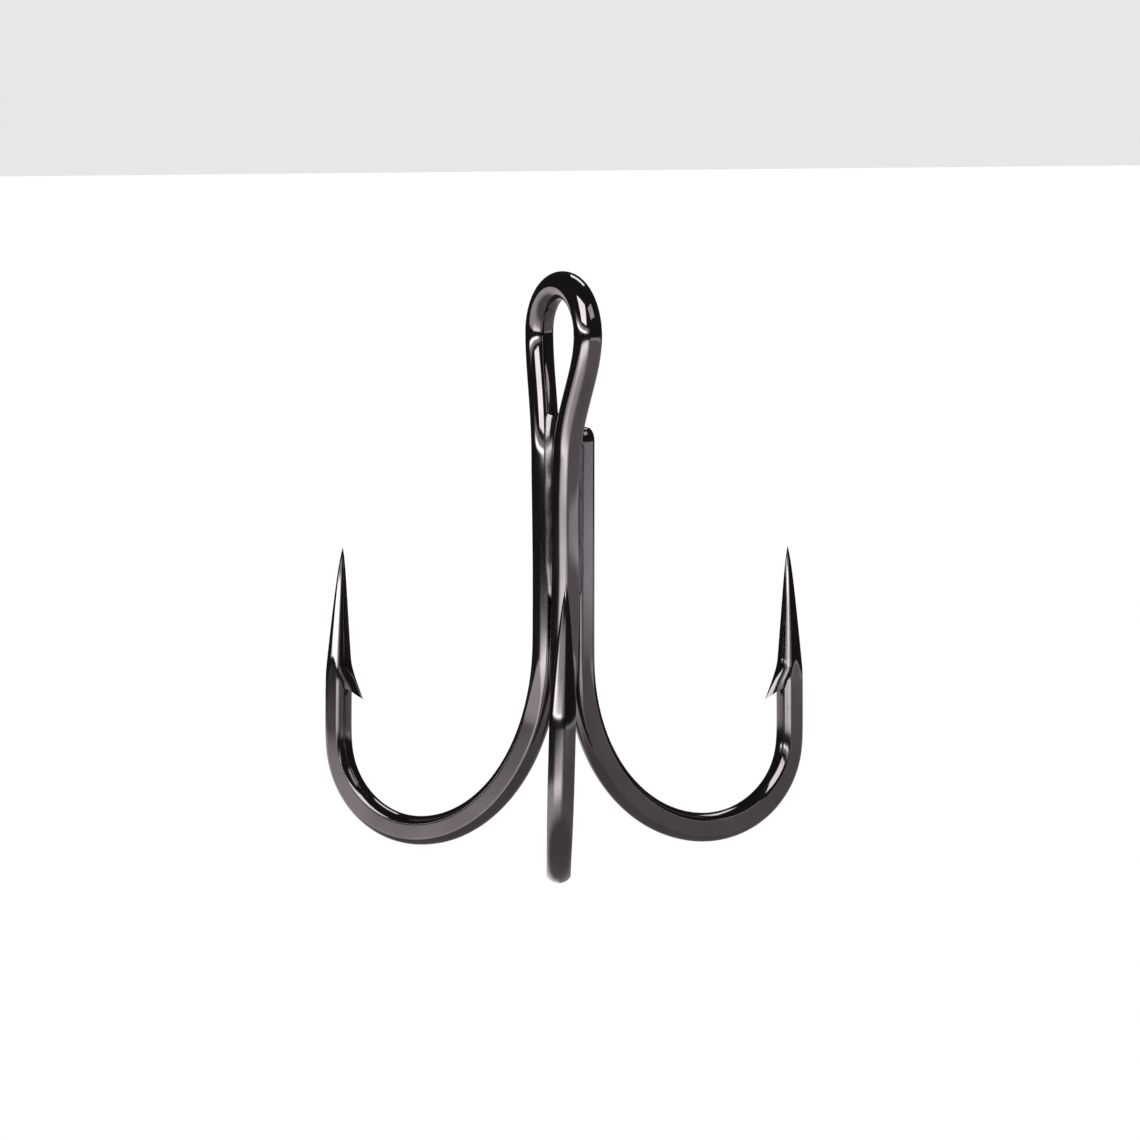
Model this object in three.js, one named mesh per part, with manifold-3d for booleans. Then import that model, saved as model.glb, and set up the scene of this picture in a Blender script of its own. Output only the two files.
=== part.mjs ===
// A treble hook: three barbed hooks of round spring wire, brazed together along one shank.
// One wire is bent into two hooks with the eye between them. A second wire makes the third hook.
// Frame, in millimetres: the origin is the centre of the eye, +Z runs up the shank out of the eye,
// the hole of the eye runs along Y, and the single hook opens towards +Y.

import * as THREE from "three";
import { mergeVertices } from "three/addons/utils/BufferGeometryUtils.js";
import Module from "manifold-3d";

// ---- driving dimensions, millimetres and degrees ----

const WIRE_RADIUS = 1.2;
const SHANK_OFFSET = 1.67; // from the shank's axis to the centre of each wire
const EYE_RADIUS = 4.12; // to the centre of the wire

// Each hook: the way it points, the lean of its plane, where its bend starts and how low it reaches.
const PLUS_X = { azimuth: -30, lean: 1.5, bendStartZ: -26.4, bottomZ: -43.5 };
const MINUS_X = { azimuth: 210, lean: 0, bendStartZ: -26.4, bottomZ: -43.5 };
const SINGLE = { azimuth: 90, lean: 0, bendStartZ: -27.7, bottomZ: -43.22 };
const LEAN_PIVOT_Z = -29; // a leaning hook crosses the plane through the axis at this height

const BEND_BOTTOM_OUT = 14.6; // distance from the axis to the lowest point of the bend
const SPEAR_OUT = 22.72; // distance from the axis to the outermost point of the bend
const SPEAR_START_Z = -36.0;
const TIP_OUT = 22.25;
const TIP_Z = -19.1;

const EYE_PLANE = { azimuth: 0, lean: 0 };
const LEG_MEET = new THREE.Vector3(1.88, -0.62, -10.2); // where the eye's +X leg joins the shank bundle
const LEG_AIM = new THREE.Vector3(-0.3, -0.15, -4); // its direction and stiffness there
const LEG_PULL = 3.2; // how far the leg runs on downwards out of the eye before it closes in
const SHANK_STRAIGHT = 4.4; // the straight stretch of a double hook's shank above its bend

const NEEDLE_SLOPE = 0.0915; // growth of the point's radius along its length
const NEEDLE_NOSE = 0.19; // extra radius behind the blunt-rounded tip
const NEEDLE_NOSE_LENGTH = 1.28;

const SPEAR_LENGTH = 16;
const SPEAR_SIDE_LENGTH = 25; // from the tip back to about the lowest point of the bend
const FLAT_HALF_ANGLE = 30; // the pressed side flats span this much of the section, each way
const BEND_SPREAD = 0.045; // pressing widens the bend in its own plane by this share
const SPEAR_SLIM = 0.055; // the drawn-out spear is slimmer in that plane by this share
const PRESS_START_Z = -25.0; // pressing fades in down the bend's inner side
const PRESS_FULL_Z = -31.0;

const SINGLE_END_Z = -7.95; // the third wire is cut off below the eye
const CUT_END_LENGTH = 1.15; // length of its rounded-over edge
const CUT_END_FLAT = 0.45; // share of the radius that stays flat on the end face

const BARB_TIP = new THREE.Vector2(20.0, -32.1); // distance from the axis, height
const BARB_ROOT = new THREE.Vector2(21.6, -28.1);
const BARB_CURVE = new THREE.Vector2(21.3, -30.1);
const BARB_THROAT = new THREE.Vector2(21.25, -31.15);
const BARB_UNDERSIDE = new THREE.Vector2(20.75, -31.5);
const BARB_CUT_END = new THREE.Vector2(21.85, -30.2); // the deep end of the chisel cut
const BARB_CUT_LIP = new THREE.Vector2(21.42, -32.0);
const BARB_WIDTH = 1.0;
const BARB_TIP_WIDTH = 0.12;

const BRAZE_GAP = 0.02; // clearance that keeps the braze and the wires separate solids
const NECK = SHANK_OFFSET / 2; // from the axis to the narrowest place between two wires
const MENISCUS_RADIUS = 0.6; // the hollow face of a braze fillet
const BRAZE_BOTTOM_Z = -21.6;
const CORE_TOP_Z = -7.3;
const DOUBLE_FILLET_TOP_Z = -6.6;
const SINGLE_FILLET_TOP_Z = -9.2;

const SIDES = 24; // facets round a wire
const STEPS = {
  arch: 9, leg: 9, shankJoin: 6, cutEnd: 6, shank: 3, innerBend: 16, outerBend: 13, spear: 14,
};

const UP = new THREE.Vector3(0, 0, 1);
const rad = THREE.MathUtils.degToRad;

// ---- booleans ----

const wasm = await Module();
wasm.setup();

function solidOf(geometry) {
  const bare = geometry.clone();
  bare.deleteAttribute("normal");
  bare.deleteAttribute("uv");
  const merged = mergeVertices(bare, 1e-4);
  return new wasm.Manifold(
    new wasm.Mesh({
      numProp: 3,
      vertProperties: merged.attributes.position.array,
      triVerts: new Uint32Array(merged.index.array),
    }),
  );
}

function geometryOf(solid) {
  const mesh = solid.getMesh();
  const geometry = new THREE.BufferGeometry();
  geometry.setAttribute("position", new THREE.BufferAttribute(mesh.vertProperties, 3));
  geometry.setIndex(new THREE.BufferAttribute(mesh.triVerts, 1));
  geometry.computeVertexNormals();
  return geometry;
}

// ---- curves ----

const outwardAt = (azimuth) => new THREE.Vector3(Math.cos(rad(azimuth)), Math.sin(rad(azimuth)), 0);
const asideAt = (azimuth) => outwardAt(azimuth + 90);

// A flat curve stood up at an azimuth: its x runs out from the axis, its y up. Its plane may lean.
class StandingCurve extends THREE.Curve {
  constructor(flatCurve, { azimuth, lean }) {
    super();
    this.flatCurve = flatCurve;
    this.outward = outwardAt(azimuth);
    this.aside = asideAt(azimuth).multiplyScalar(Math.tan(rad(lean)));
  }
  getPoint(t, target = new THREE.Vector3()) {
    const p = this.flatCurve.getPoint(t);
    target.copy(this.outward).multiplyScalar(p.x).addScaledVector(UP, p.y);
    return target.addScaledVector(this.aside, p.y - LEAN_PIVOT_Z);
  }
}

// The bend and the spear of every hook, from the shank to the tip, in that plane.
function hookCurves(hook) {
  const innerBend = new THREE.EllipseCurve(
    BEND_BOTTOM_OUT, hook.bendStartZ,
    BEND_BOTTOM_OUT - SHANK_OFFSET, hook.bendStartZ - hook.bottomZ,
    Math.PI, 1.5 * Math.PI,
  );
  const outerBend = new THREE.EllipseCurve(
    BEND_BOTTOM_OUT, SPEAR_START_Z,
    SPEAR_OUT - BEND_BOTTOM_OUT, SPEAR_START_Z - hook.bottomZ,
    1.5 * Math.PI, 2 * Math.PI,
  );
  const spear = new THREE.QuadraticBezierCurve(
    new THREE.Vector2(SPEAR_OUT, SPEAR_START_Z),
    new THREE.Vector2(SPEAR_OUT, (SPEAR_START_Z + TIP_Z) / 2),
    new THREE.Vector2(TIP_OUT, TIP_Z),
  );
  return [
    { curve: new StandingCurve(innerBend, hook), steps: STEPS.innerBend },
    { curve: new StandingCurve(outerBend, hook), steps: STEPS.outerBend },
    { curve: new StandingCurve(spear, hook), steps: STEPS.spear },
  ];
}

// Half of the eyed wire, from the crown of the eye down its +X leg to one tip.
function eyeCurves(hook) {
  const quarter = new THREE.EllipseCurve(0, 0, EYE_RADIUS, EYE_RADIUS, Math.PI / 2, 0, true);
  const shank = new THREE.LineCurve(
    new THREE.Vector2(SHANK_OFFSET, hook.bendStartZ + SHANK_STRAIGHT),
    new THREE.Vector2(SHANK_OFFSET, hook.bendStartZ),
  );
  const standingShank = new StandingCurve(shank, hook);
  const shankTop = standingShank.getPoint(0);
  const legSide = new THREE.Vector3(EYE_RADIUS, 0, 0);
  const leg = new THREE.CubicBezierCurve3(
    legSide,
    legSide.clone().addScaledVector(UP, -LEG_PULL),
    LEG_MEET.clone().sub(LEG_AIM),
    LEG_MEET,
  );
  const shankJoin = new THREE.CubicBezierCurve3(
    LEG_MEET,
    LEG_MEET.clone().add(LEG_AIM),
    shankTop.clone().addScaledVector(standingShank.getTangent(0), -LEG_AIM.length()),
    shankTop,
  );
  return [
    { curve: new StandingCurve(quarter, EYE_PLANE), steps: STEPS.arch },
    { curve: leg, steps: STEPS.leg },
    { curve: shankJoin, steps: STEPS.shankJoin },
    { curve: standingShank, steps: STEPS.shank },
    ...hookCurves(hook),
  ];
}

// ---- the section of the wire along its length ----

function needleRadius(toTip) {
  const needle = NEEDLE_SLOPE * toTip + NEEDLE_NOSE * (1 - Math.exp(-toTip / NEEDLE_NOSE_LENGTH));
  const blend = 0.06;
  const mix = THREE.MathUtils.clamp(0.5 + (WIRE_RADIUS - needle) / (2 * blend), 0, 1);
  return THREE.MathUtils.lerp(WIRE_RADIUS, needle, mix) - blend * mix * (1 - mix);
}

function cutEndRadius(fromEnd) {
  const inset = 1 - Math.min(fromEnd / CUT_END_LENGTH, 1);
  return WIRE_RADIUS * (CUT_END_FLAT + (1 - CUT_END_FLAT) * Math.sqrt(1 - inset * inset));
}

// Points along a chain of curves, each with the wire's direction and its lengths to both ends.
function stationsAlong(pieces) {
  const stations = [];
  for (const { curve, steps } of pieces) {
    for (let i = stations.length ? 1 : 0; i <= steps; i += 1) {
      stations.push({ at: curve.getPoint(i / steps), along: curve.getTangent(i / steps) });
    }
  }
  let run = 0;
  stations.forEach((station, i) => {
    if (i > 0) run += station.at.distanceTo(stations[i - 1].at);
    station.run = run;
  });
  return stations.map((station) => ({ ...station, toTip: run - station.run }));
}

const onSpearSide = (station) => station.toTip < SPEAR_SIDE_LENGTH;

// How fully the side flats are pressed: none on the shank, full round the bend and up the spear.
function pressing(station) {
  if (onSpearSide(station)) return 1;
  return 1 - THREE.MathUtils.smoothstep(station.at.z, PRESS_FULL_Z, PRESS_START_Z);
}

// Change of width in the bend's own plane: wider round the bend, slimmer up the spear.
function spreading(station) {
  const spear = 1 - THREE.MathUtils.smoothstep(station.toTip, SPEAR_LENGTH, SPEAR_SIDE_LENGTH);
  return THREE.MathUtils.lerp(BEND_SPREAD, -SPEAR_SLIM, spear);
}

function wireSection(station, sideways) {
  const side = sideways.clone().addScaledVector(station.along, -sideways.dot(station.along)).normalize();
  const radius = station.radius ?? needleRadius(station.toTip);
  const press = pressing(station);
  return {
    at: station.at,
    side,
    across: side.clone().cross(station.along),
    radius: radius * (1 + press * spreading(station)),
    sideRadius: radius,
    flat: WIRE_RADIUS * (1 - press * (1 - Math.cos(rad(FLAT_HALF_ANGLE)))),
  };
}

// A rod through a list of sections, made by bending a cylinder along them.
function rodThrough(sections) {
  const rod = new THREE.CylinderGeometry(1, 1, 1, SIDES, sections.length - 1);
  const position = rod.attributes.position;
  const point = new THREE.Vector3();
  for (let i = 0; i < position.count; i += 1) {
    point.fromBufferAttribute(position, i);
    const section = sections[Math.round((0.5 - point.y) * (sections.length - 1))];
    const sideways = THREE.MathUtils.clamp(point.z * section.sideRadius, -section.flat, section.flat);
    const across = point.x * section.radius;
    point.copy(section.at).addScaledVector(section.side, sideways).addScaledVector(section.across, across);
    position.setXYZ(i, point.x, point.y, point.z);
  }
  return solidOf(rod);
}

// ---- the wires ----

// The section's side turns from facing along the eye's hole to facing across the hook's own plane.
function eyedHalf(hook) {
  const hookSide = asideAt(hook.azimuth).addScaledVector(UP, -Math.tan(rad(hook.lean)));
  return stationsAlong(eyeCurves(hook)).map((station) => {
    const turned = THREE.MathUtils.smoothstep(-station.at.z, -LEG_MEET.z, -hook.bendStartZ);
    const facing = new THREE.Vector3(0, 1, 0).lerp(hookSide, onSpearSide(station) ? 1 : turned);
    return wireSection(station, facing.normalize());
  });
}

function eyedWire(growth) {
  const half = eyedHalf(PLUS_X);
  const flip = (v) => new THREE.Vector3(-v.x, v.y, v.z);
  const otherHalf = eyedHalf({ ...PLUS_X, lean: MINUS_X.lean })
    .slice(1)
    .reverse()
    .map((section) => ({
      ...section,
      at: flip(section.at),
      side: flip(section.side),
      across: flip(section.across),
    }));
  return rodThrough(grown([...otherHalf, ...half], growth));
}

function singleWire(growth) {
  const top = new THREE.Vector2(SHANK_OFFSET, SINGLE_END_Z);
  const edge = new THREE.Vector2(SHANK_OFFSET, SINGLE_END_Z - CUT_END_LENGTH);
  const bottom = new THREE.Vector2(SHANK_OFFSET, SINGLE.bendStartZ);
  const pieces = [
    { curve: new StandingCurve(new THREE.LineCurve(top, edge), SINGLE), steps: STEPS.cutEnd },
    { curve: new StandingCurve(new THREE.LineCurve(edge, bottom), SINGLE), steps: STEPS.shank },
    ...hookCurves(SINGLE),
  ];
  const sections = stationsAlong(pieces).map((station) => {
    const nearEnd = station.run < CUT_END_LENGTH;
    const radius = nearEnd ? cutEndRadius(station.run) : undefined;
    return wireSection({ ...station, radius }, asideAt(SINGLE.azimuth));
  });
  return rodThrough(grown(sections, growth));
}

// The same sections made thicker all round, to cut room for a wire out of the braze.
function grown(sections, growth) {
  return sections.map((section) => ({
    ...section,
    radius: section.radius + growth,
    sideRadius: section.sideRadius + growth,
    flat: section.flat + growth,
  }));
}

// ---- barbs ----

// A closed flat outline made into a slab across a hook's plane, with its width set point by point.
function slabAcross(shape, { azimuth, lean }, widthAt) {
  const slab = new THREE.ExtrudeGeometry(shape, { depth: 1, steps: 1, bevelEnabled: false, curveSegments: 8 });
  slab.translate(0, 0, -0.5);
  const position = slab.attributes.position;
  for (let i = 0; i < position.count; i += 1) {
    position.setZ(i, position.getZ(i) * widthAt(position.getX(i)));
  }
  slab.rotateX(Math.PI / 2);
  slab.translate(0, 0, -LEAN_PIVOT_Z);
  slab.rotateX(-rad(lean));
  slab.translate(0, 0, LEAN_PIVOT_Z);
  slab.rotateZ(rad(azimuth));
  return solidOf(slab);
}

// The chisel lifts a sliver of the spear's inner side and leaves a notch behind it.
function withBarb(wire, hook) {
  const notch = new THREE.Shape([BARB_UNDERSIDE, BARB_CUT_LIP, BARB_CUT_END]);
  const sliver = new THREE.Shape();
  sliver.moveTo(BARB_ROOT.x, BARB_ROOT.y);
  sliver.quadraticCurveTo(BARB_CURVE.x, BARB_CURVE.y, BARB_TIP.x, BARB_TIP.y);
  sliver.quadraticCurveTo(BARB_UNDERSIDE.x, BARB_UNDERSIDE.y, BARB_THROAT.x, BARB_THROAT.y);
  sliver.lineTo(BARB_CUT_END.x, BARB_CUT_END.y);
  sliver.lineTo(SPEAR_OUT - 0.2, BARB_ROOT.y);
  const narrowing = (out) => {
    const share = THREE.MathUtils.clamp((out - BARB_TIP.x) / (BARB_THROAT.x - BARB_TIP.x), 0, 1);
    return THREE.MathUtils.lerp(BARB_TIP_WIDTH, BARB_WIDTH, share);
  };
  const cut = wire.subtract(slabAcross(notch, hook, () => 4 * WIRE_RADIUS));
  return cut.add(slabAcross(sliver, hook, narrowing));
}

// ---- braze ----

function uprightSlab(shape, azimuth, bottom, top) {
  const slab = new THREE.ExtrudeGeometry(shape, {
    depth: top - bottom, steps: 1, bevelEnabled: false, curveSegments: 12,
  });
  slab.translate(0, 0, bottom);
  slab.rotateZ(rad(azimuth));
  return solidOf(slab);
}

// The filler drawn into the three-cornered channel between the wires.
function brazeCore(room) {
  const reach = 2 * (NECK - BRAZE_GAP / 2);
  const corners = [PLUS_X, SINGLE, MINUS_X].map(({ azimuth }) => {
    const corner = outwardAt(azimuth).multiplyScalar(reach);
    return new THREE.Vector2(corner.x, corner.y);
  });
  return uprightSlab(new THREE.Shape(corners), 0, BRAZE_BOTTOM_Z, CORE_TOP_Z).subtract(room);
}

// The hollow-faced run of filler in the outer groove between two wires.
function brazeFillet(azimuth, top, room) {
  const wireOut = SHANK_OFFSET * Math.cos(rad(60));
  const wireAside = SHANK_OFFSET * Math.sin(rad(60));
  const reach = WIRE_RADIUS + MENISCUS_RADIUS;
  const hollowOut = wireOut + Math.sqrt(reach * reach - wireAside * wireAside);
  const touch = Math.atan2(wireAside, hollowOut - wireOut);
  const edgeOut = hollowOut - MENISCUS_RADIUS * Math.cos(touch);
  const shape = new THREE.Shape();
  shape.moveTo(NECK + BRAZE_GAP / 2, -wireAside);
  shape.lineTo(edgeOut, -wireAside);
  shape.absarc(hollowOut, 0, MENISCUS_RADIUS, Math.PI + touch, Math.PI - touch, true);
  shape.lineTo(edgeOut, wireAside);
  shape.lineTo(NECK + BRAZE_GAP / 2, wireAside);
  return uprightSlab(shape, azimuth, BRAZE_BOTTOM_Z, top).subtract(room);
}

// ---- assembly ----

const BLACK_NICKEL = { color: 0x4a464b, roughness: 0.22, metalness: 1 };
const BRAZE = { color: 0x5c575b, roughness: 0.35, metalness: 1 };

function piece(name, solid, look) {
  const mesh = new THREE.Mesh(geometryOf(solid), new THREE.MeshStandardMaterial(look));
  mesh.name = name;
  return mesh;
}

const room = eyedWire(BRAZE_GAP).add(singleWire(BRAZE_GAP));
const eyedDoubleHook = withBarb(withBarb(eyedWire(0), PLUS_X), MINUS_X);
const singleHook = withBarb(singleWire(0), SINGLE);

const trebleHook = new THREE.Group();
trebleHook.add(
  piece("eyed_double_hook", eyedDoubleHook, BLACK_NICKEL),
  piece("single_hook", singleHook, BLACK_NICKEL),
  piece("braze_core", brazeCore(room), BRAZE),
  piece("braze_fillet_double", brazeFillet(-90, DOUBLE_FILLET_TOP_Z, room), BRAZE),
  piece("braze_fillet_plus_x", brazeFillet(30, SINGLE_FILLET_TOP_Z, room), BRAZE),
  piece("braze_fillet_minus_x", brazeFillet(150, SINGLE_FILLET_TOP_Z, room), BRAZE),
);

export default trebleHook;
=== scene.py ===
"""The looks of a black nickel treble hook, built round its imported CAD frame.

Lengths below are millimetres in the CAD's own frame, and MM turns them into Blender's metres.
The wires are swept as fine meshes with pressed side flats, needle points and chiselled barbs.
"""

import math

import bmesh
import bpy
import numpy as np
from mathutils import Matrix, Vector


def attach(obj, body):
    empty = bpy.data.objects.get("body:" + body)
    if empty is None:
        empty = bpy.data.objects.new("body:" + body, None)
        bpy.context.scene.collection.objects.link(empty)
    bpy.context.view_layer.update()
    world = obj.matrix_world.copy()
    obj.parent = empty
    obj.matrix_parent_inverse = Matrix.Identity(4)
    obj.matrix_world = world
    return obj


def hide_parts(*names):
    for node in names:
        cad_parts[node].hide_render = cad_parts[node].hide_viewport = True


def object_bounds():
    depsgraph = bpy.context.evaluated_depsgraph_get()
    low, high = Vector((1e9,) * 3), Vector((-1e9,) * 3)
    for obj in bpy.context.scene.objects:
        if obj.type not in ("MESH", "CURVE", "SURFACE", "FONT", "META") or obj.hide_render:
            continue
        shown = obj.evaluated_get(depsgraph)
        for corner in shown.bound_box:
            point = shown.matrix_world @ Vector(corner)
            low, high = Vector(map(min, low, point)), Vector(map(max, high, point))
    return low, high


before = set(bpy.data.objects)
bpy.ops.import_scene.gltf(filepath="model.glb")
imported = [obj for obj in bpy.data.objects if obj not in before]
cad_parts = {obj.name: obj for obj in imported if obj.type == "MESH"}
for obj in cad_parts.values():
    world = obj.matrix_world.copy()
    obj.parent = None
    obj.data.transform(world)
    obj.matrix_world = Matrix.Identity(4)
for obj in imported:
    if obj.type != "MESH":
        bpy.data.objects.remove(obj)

MM = 0.001

# ---- driving dimensions ----
# As in the CAD, apart from where the eye's legs meet and the values of each hook, which differ slightly.

WIRE_RADIUS = 1.2
SHANK_OFFSET = 1.67
EYE_RADIUS = 4.12
SPEAR_START_Z = -36.0
EASE_STEP = 0.1          # spacing of the points that a line is eased on
EASE_REACH = 2.6         # and how far to either side the easing looks
LEAN_PIVOT_Z = -29.0
LEG_MEET = np.array([1.82, -0.72, -10.2])
LEG_AIM = np.array([-0.22, -0.1, -4.0])
LEG_PULL = 3.2
SHANK_STRAIGHT = 4.4
SINGLE_END_Z = -7.95
CUT_END_LENGTH = 1.15
CUT_END_FLAT = 0.45

# Each hook: the way it points, its lean, how far out its bend's bottom, spear and tip are,
# and the heights where its bend starts, its bottom lies and its tip ends.
PLUS_X = {
    "azimuth": -30.0, "lean": 1.5, "shank_top": 1.76,
    "bottom_out": 14.6, "spear_out": 22.72, "tip_out": 22.25,
    "bend_start": -26.4, "bottom": -43.35, "tip": -19.1,
}
MINUS_X = {
    "azimuth": 210.0, "lean": -0.35, "shank_top": 1.67,
    "bottom_out": 15.0, "spear_out": 22.72, "tip_out": 22.25,
    "bend_start": -26.5, "bottom": -43.5, "tip": -19.1,
}
MINUS_X_FLIPPED = {**MINUS_X, "azimuth": PLUS_X["azimuth"], "lean": -MINUS_X["lean"]}
SINGLE = {
    "azimuth": 90.0, "lean": 0.0,
    "bottom_out": 14.75, "spear_out": 22.84, "tip_out": 22.55,
    "bend_start": -28.2, "bottom": -43.2, "tip": -19.0,
}

# ---- the pressed section ----

PRESS_START_Z = -25.5
PRESS_FULL_Z = -33.5
BEND_FLAT = 1.0          # half the thickness across the flats at the bottom of the bend
SPEAR_FLAT = 1.09        # and where the spear begins
CREASE_ROUND = 0.035     # half the width of the rounding along a flat's edge
CREASE_LOW_LIMIT = 0.972     # where the crease's two ends stay on a section that has no flat
CREASE_HIGH_LIMIT = 0.9935
BEND_SPREAD = 0.045
SPEAR_SLIM = 0.055
SPEAR_LENGTH = 16.0
SPEAR_SIDE_LENGTH = 25.0

NEEDLE_SLOPE = 0.0915
NEEDLE_NOSE = 0.19
NEEDLE_NOSE_LENGTH = 1.28
NEEDLE_BLEND = 0.06

# ---- the barb: heights, and distances in from the spear's inner surface ----

FIN_TOP_Z = -28.2
FIN_BEND_Z = -29.35
FIN_SLOPE = 0.475
FIN_END_Z = -32.5
FIN_HALF_WIDTH = 1.0
FIN_CREST_ROUND = 0.12
FIN_SINK = 0.02          # how far the fin's root lies under the wire's surface
FIN_SOFTNESS = 0.42      # how gently the fin's crest turns away from the wire
FIN_FROM_TIP = 14.4
FIN_TO_TIP = 8.6
FIN_RINGS = 90
CUTTER_HALF_WIDTH = 3.0
CHISEL_REACH = 3.2
SLIT_TOP = [(0.3, -31.55), (0.0, -31.36)]
SLIT_BOTTOM = (0.3, -32.4)
UNDERSIDE = [(1.75, -32.62), (1.33, -32.27), (0.85, -31.93), (0.46, -31.62), (0.15, -31.46), (0.0, -31.36)]
CUT_END = (-0.58, -30.2)
CUT_LIP = (0.04, -31.75)
CUT_SPARE = 0.012        # how much higher the wire is cut than the barb that covers the cut

# ---- the braze ----

MENISCUS_SPARE = 0.34    # how much wider the hollow face's radius is than half the gap it spans
BRAZE_BOTTOM_Z = -22.5
DOUBLE_TOP_Z = -6.5
SINGLE_TOP_Z = -8.9
CORE_TOP_Z = -9.6
BRAZE_SINK = 0.14        # how deep the braze runs on inside the wires
BRAZE_CREEP = 0.9        # the height over which a fillet thins out at its top
BRAZE_RUN_OUT = 4.0      # and at its bottom
BRAZE_STEP = 0.06        # spacing of the grid that the braze's surface is found on
BRAZE_RISE = 0.012       # how far the braze stands above the wires where it runs out on them
BRAZE_LIP = 0.03         # and how much thicker its very edges are
BRAZE_LEAST = 0.02
BRAZE_WAVE = 0.05        # unevenness of the hollow faces along the shank
BRAZE_STATION = 0.2
FACE_POINTS = 21
POOL_CREEP = 0.7         # how far the core creeps up the wires at its two ends
POOL_CREEP_FADE = 0.28   # and how near to a wire it does so
POOL_MARGIN = 0.5        # how much lower the core ends than the fillets
CORE_HALF_WIDTH = 2.9    # the box that the core's surface is looked for in
CORE_BOX_TOP_Z = -5.5
CORE_BOX_SPARE = 1.8
SETTLE_STEP = 0.004
BRAZE_SHARP_ANGLE = 50
WIRE_SHARP_ANGLE = 35

# ---- how finely the wires are meshed ----

RINGS_PER_MM = 4.0
FINE_RINGS_PER_MM = 12.0
FINE_LENGTH = 14.5       # the end of each wire, with its needle and barb, that has the finer rings
TIP_CUT_BACK = 0.002     # the last ring stays this far short of the very tip
LEAST_TO_TIP = 0.012
DIRECTION_STEP = 0.02    # how far ahead and behind a wire's direction is taken from


def radians(angle):
    return math.radians(angle)


def smoothstep(value, low, high):
    t = np.clip((value - low) / (high - low), 0.0, 1.0)
    return t * t * (3.0 - 2.0 * t)


def outward(azimuth):
    return np.array([math.cos(radians(azimuth)), math.sin(radians(azimuth)), 0.0])


def unit(vectors):
    return vectors / np.linalg.norm(vectors, axis=-1, keepdims=True)


# ---- centrelines ----


def stand_up(out, height, hook):
    """Points given by their distance from the axis and height, put in a hook's leaning plane."""
    aside = outward(hook["azimuth"] + 90.0) * math.tan(radians(hook["lean"]))
    out, height = np.asarray(out)[:, None], np.asarray(height)[:, None]
    return out * outward(hook["azimuth"]) + height * np.array([0, 0, 1.0]) + (height - LEAN_PIVOT_Z) * aside


def bezier(p0, p1, p2, p3, count=120):
    t = np.linspace(0.0, 1.0, count)[:, None]
    return (1 - t) ** 3 * p0 + 3 * t * (1 - t) ** 2 * p1 + 3 * t * t * (1 - t) * p2 + t ** 3 * p3


def hook_line(hook):
    """From the end of the straight shank, round the bend and up the spear to the tip."""
    quarter = np.linspace(0.0, math.pi / 2, 160)
    bottom_out, bottom = hook["bottom_out"], hook["bottom"]
    inner = stand_up(
        bottom_out - (bottom_out - SHANK_OFFSET) * np.cos(quarter),
        hook["bend_start"] - (hook["bend_start"] - bottom) * np.sin(quarter),
        hook,
    )
    outer = stand_up(
        bottom_out + (hook["spear_out"] - bottom_out) * np.sin(quarter),
        SPEAR_START_Z - (SPEAR_START_Z - bottom) * np.cos(quarter),
        hook,
    )
    t = np.linspace(0.0, 1.0, 160)
    middle = (SPEAR_START_Z + hook["tip"]) / 2
    spear = stand_up(
        (1 - t * t) * hook["spear_out"] + t * t * hook["tip_out"],
        (1 - t) ** 2 * SPEAR_START_Z + 2 * t * (1 - t) * middle + t * t * hook["tip"],
        hook,
    )
    return np.vstack([inner, outer[1:], spear[1:]])


def eyed_half_line(hook):
    """From the crown of the eye down its +X leg to the tip of that side's hook."""
    quarter = np.linspace(0.0, math.pi / 2, 120)
    arch = np.stack([EYE_RADIUS * np.sin(quarter), 0 * quarter, EYE_RADIUS * np.cos(quarter)], 1)
    side = np.array([EYE_RADIUS, 0.0, 0.0])
    ends = [hook["bend_start"] + SHANK_STRAIGHT, hook["bend_start"]]
    straight = stand_up([hook["shank_top"], SHANK_OFFSET], ends, hook)
    leg = bezier(side, side - [0, 0, LEG_PULL], LEG_MEET - LEG_AIM, LEG_MEET)
    down = unit(straight[1] - straight[0]) * np.linalg.norm(LEG_AIM)
    join = bezier(LEG_MEET, LEG_MEET + LEG_AIM, straight[0] - down, straight[0])
    return np.vstack([arch, leg[1:], join[1:], eased(np.vstack([straight, hook_line(hook)[1:]]))[1:]])


def single_line():
    shank = stand_up([SHANK_OFFSET] * 2, [SINGLE_END_Z, SINGLE["bend_start"]], SINGLE)
    return eased(np.vstack([shank, hook_line(SINGLE)[1:]]))


def resampled(line, places):
    run = np.concatenate([[0.0], np.cumsum(np.linalg.norm(np.diff(line, axis=0), axis=1))])
    return np.stack([np.interp(places, run, line[:, i]) for i in range(3)], 1)


def line_length(line):
    return float(np.linalg.norm(np.diff(line, axis=0), axis=1).sum())


def eased(line):
    """The line with its curvature made to rise and fall gently; its two ends stay put."""
    steps = round(line_length(line) / EASE_STEP)
    even = resampled(line, np.linspace(0.0, line_length(line), steps + 1))
    reach = round(EASE_REACH / EASE_STEP)
    weights = np.hanning(2 * reach + 3)[1:-1]
    before = 2 * even[0] - even[reach:0:-1]
    after = 2 * even[-1] - even[-2:-reach - 2:-1]
    padded = np.vstack([before, even, after])
    return np.stack([np.convolve(padded[:, i], weights / weights.sum(), "valid") for i in range(3)], 1)


# ---- sections ----


def needle_radius(to_tip):
    needle = NEEDLE_SLOPE * to_tip + NEEDLE_NOSE * (1.0 - np.exp(-to_tip / NEEDLE_NOSE_LENGTH))
    mix = np.clip(0.5 + (WIRE_RADIUS - needle) / (2 * NEEDLE_BLEND), 0.0, 1.0)
    return WIRE_RADIUS + (needle - WIRE_RADIUS) * mix - NEEDLE_BLEND * mix * (1 - mix)


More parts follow.
